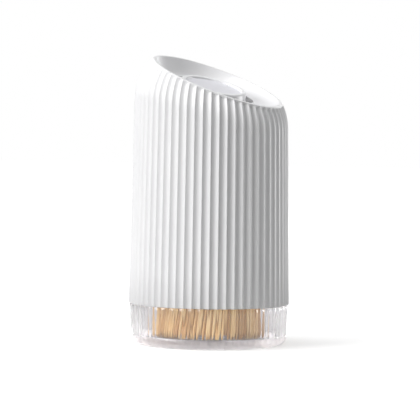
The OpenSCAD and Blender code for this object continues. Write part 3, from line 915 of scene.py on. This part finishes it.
def tray_section(a):
    wall_r = TRAY_R - TRAY_WALL
    return softened([
        (COLUMN_R + SEAT_GAP, TRAY_TOP, 0),
        (FLANGE_ROOM_R, TRAY_TOP, 0),
        (FLANGE_ROOM_R, TRAY_Z, FINE_EDGE),
        (TRAY_R - TRAY_T, TRAY_Z, SOFT_EDGE),
        (TRAY_R, TRAY_TOP, SOFT_EDGE),
        (TRAY_R, TRAY_H, TRAY_RIM_EDGE),
        (wall_r, TRAY_H, TRAY_RIM_EDGE),
        (wall_r, TRAY_TOP, SOFT_EDGE),
        (HUB_SEAT_R, TRAY_TOP, CRISP_EDGE),
        (HUB_SEAT_R, TRAY_TOP + TRAY_T, EASED_EDGE),
        (COLUMN_R + SEAT_GAP, TRAY_TOP + TRAY_T, FINE_EDGE)])


lift_tray = swept("pick_tray", tray_section, around(TRAY_COLUMNS))
lift_tray.data.materials.append(clear_tray)
dress(lift_tray, "core", "clear_tray", "lift_tray")

# ---------------------------------------------------------------- Geometry Nodes: toothpicks

# added to a ring's seed, so that sway, roll and tint are drawn apart
SWAY_SEED = 11
ROLL_SEED = 23
TINT_SEED = 37
FIRST_SEED = 40


def make_pick():
    """One pointed pick that stands on the origin, with few faces and its own coordinates."""
    rings = (
        (TIP_END_R, 0), (TIP_R, TIP_LEN), (PICK_R, FOOT_POINT_LEN),
        (PICK_R, PICK_LEN - POINT_LEN), (TIP_R, PICK_LEN - TIP_LEN), (TIP_END_R, PICK_LEN))
    points = []
    for r, z in rings:
        for turn in around(PICK_SIDES):
            points.append((r * math.cos(turn) * MM, r * math.sin(turn) * MM, z * MM))
    faces = [tuple(range(PICK_SIDES - 1, -1, -1))]
    for j in range(len(rings) - 1):
        for k in range(PICK_SIDES):
            a = j * PICK_SIDES + k
            b = j * PICK_SIDES + (k + 1) % PICK_SIDES
            faces.append((a, b, b + PICK_SIDES, a + PICK_SIDES))
    faces.append(tuple(range(len(points) - PICK_SIDES, len(points))))
    mesh = bpy.data.meshes.new("one_pick")
    mesh.from_pydata(points, [], faces)
    mesh.shade_smooth()
    own_place = mesh.attributes.new("pick_place", "FLOAT_VECTOR", "POINT")
    for item, p in zip(own_place.data, points):
        item.vector = p
    return in_scene("one_pick", mesh)


def random_value(tree, low, high, seed, shift):
    node = tree.nodes.new("FunctionNodeRandomValue")
    node.data_type = "FLOAT"
    floats = [s for s in node.inputs if s.type == "VALUE"]
    floats[0].default_value = low
    floats[1].default_value = high
    feed(tree, node.inputs["Seed"], maths(tree, "ADD", seed, shift))
    return [s for s in node.outputs if s.type == "VALUE"][0]


def build_pick_tree():
    """Adds one ring of picks, each leaning from its foot on the tray to its place at the top."""
    tree, sockets = new_tree("stand_picks", {
        "Pick": "Object", "Count": "Int", "Foot Radius": "Float", "Top Radius": "Float",
        "Start": "Float", "Twist": "Float", "Foot Height": "Float", "Length": "Float",
        "Seed": "Int", "Material": "Material"})
    given = tree.nodes.new("NodeGroupInput").outputs
    seed = given["Seed"]

    feet = add_node(tree, "GeometryNodeMeshCircle", {
        "Vertices": given["Count"], "Radius": given["Foot Radius"]})
    turned = add_node(tree, "GeometryNodeTransform", {
        "Geometry": feet.outputs["Mesh"], "Rotation": vector_of(tree, Z=given["Start"])})
    raised = add_node(tree, "GeometryNodeSetPosition", {
        "Geometry": turned.outputs["Geometry"],
        "Offset": vector_of(tree, Z=given["Foot Height"])})

    # the pick's top: its foot turned by the twist and drawn in to the top radius
    place = position(tree)
    angle = maths(tree, "ARCTAN2", place["Y"], place["X"])
    sway = random_value(tree, -PICK_SWAY, PICK_SWAY, seed, SWAY_SEED)
    top_angle = maths(tree, "ADD", maths(tree, "ADD", angle, given["Twist"]), sway)
    top_x = maths(tree, "MULTIPLY", given["Top Radius"], maths(tree, "COSINE", top_angle))
    top_y = maths(tree, "MULTIPLY", given["Top Radius"], maths(tree, "SINE", top_angle))
    run_x = maths(tree, "SUBTRACT", top_x, place["X"])
    run_y = maths(tree, "SUBTRACT", top_y, place["Y"])
    rise_squared = maths(
        tree, "SUBTRACT", maths(tree, "POWER", given["Length"], 2.0),
        sum_of_squares(tree, run_x, run_y))
    rise = maths(tree, "SQRT", rise_squared)

    roll = random_value(tree, 0.0, 2 * math.pi, seed, ROLL_SEED)
    upright = tree.nodes.new("FunctionNodeAxesToRotation")
    upright.primary_axis = "Z"
    upright.secondary_axis = "X"
    set_inputs(tree, upright, {
        "Primary Axis": vector_of(tree, X=run_x, Y=run_y, Z=rise),
        "Secondary Axis": vector_of(
            tree, X=maths(tree, "COSINE", roll), Y=maths(tree, "SINE", roll))})

    pick = add_node(tree, "GeometryNodeObjectInfo", {"Object": given["Pick"]})
    pick.transform_space = "ORIGINAL"
    placed = add_node(tree, "GeometryNodeInstanceOnPoints", {
        "Points": raised.outputs["Geometry"], "Instance": pick.outputs["Geometry"],
        "Rotation": upright.outputs["Rotation"]})
    picks = tree.nodes.new("GeometryNodeStoreNamedAttribute")
    picks.domain = "INSTANCE"
    set_inputs(tree, picks, {
        "Geometry": placed.outputs["Instances"], "Name": "pick_tint",
        "Value": random_value(tree, TINT_LOW, TINT_HIGH, seed, TINT_SEED)})

    both = tree.nodes.new("GeometryNodeJoinGeometry")
    for part in (given["Geometry"], picks.outputs["Geometry"]):
        feed(tree, both.inputs["Geometry"], part)
    end_tree(tree, both.outputs["Geometry"], given["Material"])
    return tree, sockets


pick_tree, pick_sockets = build_pick_tree()

# two rows of feet along the tray's wall; their tops draw in to four rings that pass the hole
low_edge_z = hole_z(0) - HOLE_EDGE_H
hole_share = (low_edge_z - LIFT - TRAY_TOP) / PICK_LEN
foot_out = TRAY_R - TRAY_WALL - PICK_R - WALL_GAP
foot_in = foot_out - 2 * PICK_R
top_in = COLUMN_R + PICK_R + COLUMN_GAP
top_out = (HOLE_R - PASS_GAP - PICK_R - (1 - hole_share) * foot_out) / hole_share
# each ring's number of picks, radius at the feet and start, in shares of the picks' spacing
pick_rings = ((25, foot_in, 0), (25, foot_in, 0.5), (36, foot_out, 0), (36, foot_out, 0.5))

one_pick = make_pick()
bundle = in_scene("bundle", bpy.data.meshes.new("bundle"))
for ring, (count, foot_r, start) in enumerate(pick_rings):
    top_r = top_in + (top_out - top_in) * ring / (len(pick_rings) - 1)
    add_tree(bundle, "ring_%d" % (ring + 1), pick_tree, pick_sockets, {
        "Pick": one_pick, "Count": count, "Foot Radius": foot_r * MM, "Top Radius": top_r * MM,
        "Start": 2 * math.pi / count * start, "Twist": PICK_TWIST,
        "Foot Height": (TRAY_TOP + SEAT_GAP + FOOT_GAP) * MM, "Length": PICK_LEN * MM,
        "Seed": FIRST_SEED + ring, "Material": bamboo})
toothpicks = baked(bundle, "toothpicks")
bpy.data.objects.remove(one_pick)
dress(toothpicks, "core", "bamboo", *["toothpicks_%d" % k for k in range(1, 7)])

# ---------------------------------------------------------------- lift spring


def wound_wire(name, low_z, high_z):
    """One unbroken wire wound up the axis, closed at both ends."""
    steps = COILS * COIL_STEPS
    climb = (high_z - low_z) / (2 * math.pi * COILS)
    points = []
    for i in range(steps + 1):
        turn = 2 * math.pi * COILS * i / steps
        out = Vector((math.cos(turn), math.sin(turn), 0))
        along = Vector((-math.sin(turn) * COIL_R, math.cos(turn) * COIL_R, climb)).normalized()
        up = out.cross(along)
        middle = out * COIL_R + Vector((0, 0, low_z + climb * turn))
        for b in around(WIRE_SIDES):
            points.append((middle + (out * math.cos(b) + up * math.sin(b)) * WIRE_R) * MM)
    last = steps * WIRE_SIDES
    faces = [tuple(range(WIRE_SIDES)), tuple(range(last + WIRE_SIDES - 1, last - 1, -1))]
    for i in range(steps):
        for k in range(WIRE_SIDES):
            a = i * WIRE_SIDES + k
            b = i * WIRE_SIDES + (k + 1) % WIRE_SIDES
            faces.append((a, a + WIRE_SIDES, b + WIRE_SIDES, b))
    mesh = bpy.data.meshes.new(name)
    mesh.from_pydata(points, [], faces)
    mesh.shade_smooth()
    return in_scene(name, mesh)


spring_low, spring_high = (corner[2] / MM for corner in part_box("lift_spring"))
lift_spring = wound_wire("coil_spring", spring_low + WIRE_R, spring_high - WIRE_R)
lift_spring.data.materials.append(spring_steel)
# its foot stays on the post's head and its top goes with the plug
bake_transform(lift_spring, "base", "core", start=(0, 0, spring_low * MM), end=(0, 0, spring_high * MM))
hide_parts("lift_spring")

# ---------------------------------------------------------------- CAD pieces that stay

for node, material in (
        ("cap_screw", steel), ("post_screw", clip_steel), ("tray_clip", clip_steel),
        ("latch_follower", steel), ("follower_pivot", steel),
        ("column_plug", core_white), ("lift_column", core_white), ("guide_post", core_white),
        ("latch_cam", acetal)):
    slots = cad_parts[node].data.materials
    slots.clear()
    slots.append(material)

# ---------------------------------------------------------------- camera, in metres

CAMERA_TURN = math.radians(31.05)
CAMERA_AWAY = 0.650
CAMERA_UP = 0.0636
CAMERA_PITCH = math.radians(1.93)
CAMERA_ROLL = math.radians(0.765)
LENS = 178.7
SENSOR_W = 36
CLIP_START = 0.01

toward = Vector((
    -math.sin(CAMERA_TURN) * math.cos(CAMERA_PITCH),
    math.cos(CAMERA_TURN) * math.cos(CAMERA_PITCH),
    -math.sin(CAMERA_PITCH)))
level = Vector((math.cos(CAMERA_TURN), math.sin(CAMERA_TURN), 0))
above = level.cross(toward)
right = level * math.cos(CAMERA_ROLL) + above * math.sin(CAMERA_ROLL)
up = above * math.cos(CAMERA_ROLL) - level * math.sin(CAMERA_ROLL)

camera = in_scene("camera", bpy.data.cameras.new("camera"))
camera.data.lens = LENS
camera.data.sensor_width = SENSOR_W
camera.data.sensor_fit = "HORIZONTAL"
camera.data.clip_start = CLIP_START
pose = Matrix((right, up, -toward)).transposed().to_4x4()
pose.translation = (
    math.sin(CAMERA_TURN) * CAMERA_AWAY, -math.cos(CAMERA_TURN) * CAMERA_AWAY, CAMERA_UP)
camera.matrix_world = pose
bpy.context.scene.camera = camera

# ---------------------------------------------------------------- studio, in metres

MIDDLE = Vector((0, 0, 0.045))
FILL_RISE = 4
FILL_AWAY = 1.2
FILL_W = 0.5
FILL_H = 0.1
AMBIENT = 0.02
MIRRORED = 0.35
LOOKED_AT = 1.0
WHITE = (1, 1, 1, 1)
FLOOR_TONE = (0.54, 0.54, 0.54, 1)
FLOOR_ROUGH = 0.9
FLOOR_GLOW = 0.0
FLOOR_HALF = 4.0
FLOOR_Z = -0.00005
FLOOR_NEAR = 0.1
FLOOR_FAR = 0.7
NEAR_SHARE = 0.6


def from_camera(turn_degrees, rise_degrees):
    """A direction turned to the right of the camera's, and raised."""
    turn = CAMERA_TURN + math.radians(turn_degrees)
    rise = math.radians(rise_degrees)
    return Vector((
        math.sin(turn) * math.cos(rise), -math.cos(turn) * math.cos(rise), math.sin(rise)))


def soft_box(name, direction, away, width, height, power):
    lamp = bpy.data.lights.new(name, "AREA")
    lamp.shape = "RECTANGLE"
    lamp.size = width
    lamp.size_y = height
    lamp.energy = power
    box = in_scene(name, lamp)
    box.location = MIDDLE + direction * away
    box.rotation_euler = direction.to_track_quat("Z", "Y").to_euler()
    return box


# name, turn and rise in degrees, distance, width, height, power in watts
for name, turn, rise, away, width, height, power in (
        ("key_box", -55, 26, 2.4, 1.2, 1, 41.5),
        ("left_box", -90, 65, 2.4, 1, 1, 23),
        ("right_box", 45, 45, 1.2, 0.5, 0.5, 0.5),
        ("top_box", 0, 89, 1.2, 0.5, 0.5, 5.6),
        ("edge_box", 112, 3, 1.2, 0.5, 0.35, 5.8),
        ("back_box", 160, 10, 1.2, 0.5, 0.5, 2.2)):
    soft_box(name, from_camera(turn, rise), away, width, height, power)

# soft light under the shell's edge, so that what stands in the cup isn't in the dark
in_the_cup = bpy.data.collections.new("in_the_cup")
for piece in (toothpicks, lift_tray, *(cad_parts[node] for node in (
        "lift_column", "tray_clip", "guide_post", "post_screw"))):
    in_the_cup.objects.link(piece)
for name, turn, power in (
        ("cup_box_left", -60, 14), ("cup_box_right", 45, 10), ("cup_box_back", 180, 8)):
    fill = soft_box(name, from_camera(turn, FILL_RISE), FILL_AWAY, FILL_W, FILL_H, power)
    fill.light_linking.receiver_collection = in_the_cup


def level_by_ray(tree, lit, mirrored, looked_at):
    """One level for bounced light, one for reflections, one for what is seen or seen through."""
    ray = tree.nodes.new("ShaderNodeLightPath").outputs
    seen = maths(tree, "MAXIMUM", ray["Is Camera Ray"], ray["Is Transmission Ray"])
    value = lit
    for test, level_then in ((ray["Is Glossy Ray"], mirrored), (seen, looked_at)):
        value = add_node(tree, "ShaderNodeMix", {
            "Factor": test, "A": value, "B": level_then}).outputs["Result"]
    return value


world = bpy.data.worlds.new("studio")
bpy.context.scene.world = world
world.use_nodes = True
set_inputs(world.node_tree, world.node_tree.nodes["Background"], {
    "Color": WHITE, "Strength": level_by_ray(world.node_tree, AMBIENT, MIRRORED, LOOKED_AT)})

floor_mesh = bpy.data.meshes.new("floor")
floor_mesh.from_pydata(
    [(x * FLOOR_HALF, y * FLOOR_HALF, FLOOR_Z) for x, y in ((-1, -1), (1, -1), (1, 1), (-1, 1))],
    [], [(0, 1, 2, 3)])
floor = in_scene("floor", floor_mesh)
floor_material, floor_tree, floor_shader = new_material("studio_floor")
# the floor is as bright as the background far away, and keeps the shadow near the object
far_share = add_node(floor_tree, "ShaderNodeMapRange", {
    "Value": length(floor_tree, object_place(floor_tree)), "From Min": FLOOR_NEAR,
    "From Max": FLOOR_FAR, "To Min": NEAR_SHARE, "To Max": LOOKED_AT}).outputs["Result"]
set_inputs(floor_tree, floor_shader, {
    "Base Color": FLOOR_TONE, "Roughness": FLOOR_ROUGH, "Specular IOR Level": 0.0,
    "Emission Color": WHITE,
    "Emission Strength": level_by_ray(floor_tree, FLOOR_GLOW, MIRRORED, far_share)})
floor_mesh.materials.append(floor_material)

bpy.context.scene.view_settings.view_transform = "Standard"
